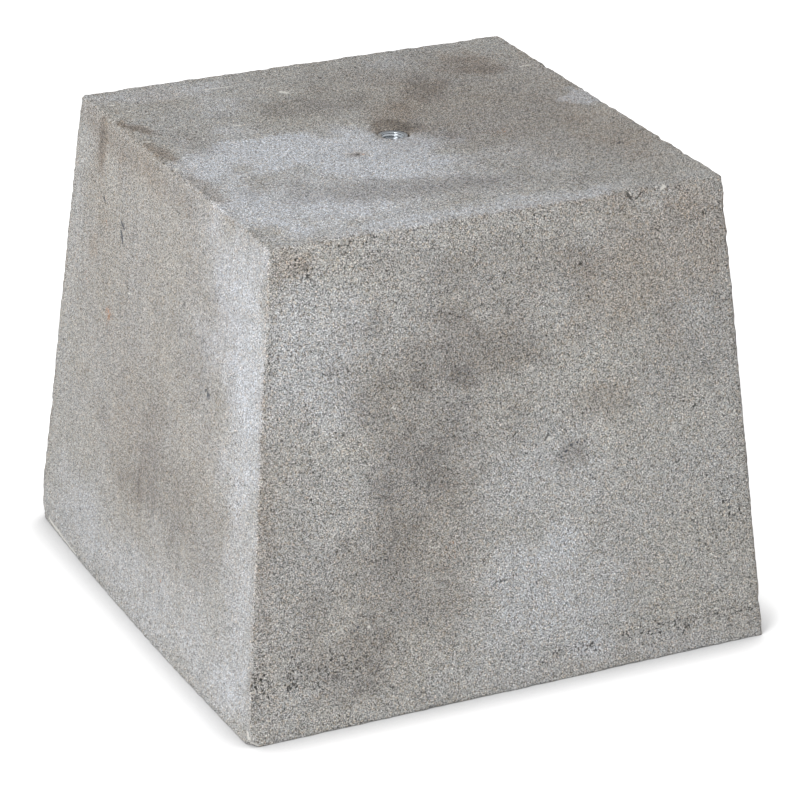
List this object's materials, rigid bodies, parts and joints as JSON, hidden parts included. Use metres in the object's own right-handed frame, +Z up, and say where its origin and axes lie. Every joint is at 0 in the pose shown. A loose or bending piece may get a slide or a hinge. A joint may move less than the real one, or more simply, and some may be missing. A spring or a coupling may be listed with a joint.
{
  "type": "concrete deck pier block",
  "caption": "Square concrete pier block that tapers upwards, with a threaded steel socket cast into the centre of its flat top for bolting down a deck post.",
  "frame": {"origin": "centre of the underside, on the ground", "axes": "+Z up along the socket's axis; the smoother side faces -X and the rough open side faces -Y"},
  "size_m": [0.2998, 0.2998, 0.257],
  "materials": {
    "cast_concrete": "open sandy dry-cast concrete",
    "zinc_plated_steel": "bright zinc plating",
    "plain_steel": "mill finish, sealed in concrete"
  },
  "bodies": {
    "root": {"pier_block": "cast_concrete", "threaded_socket": "zinc_plated_steel", "cross_bar": "plain_steel"}
  },
  "joints": []
}
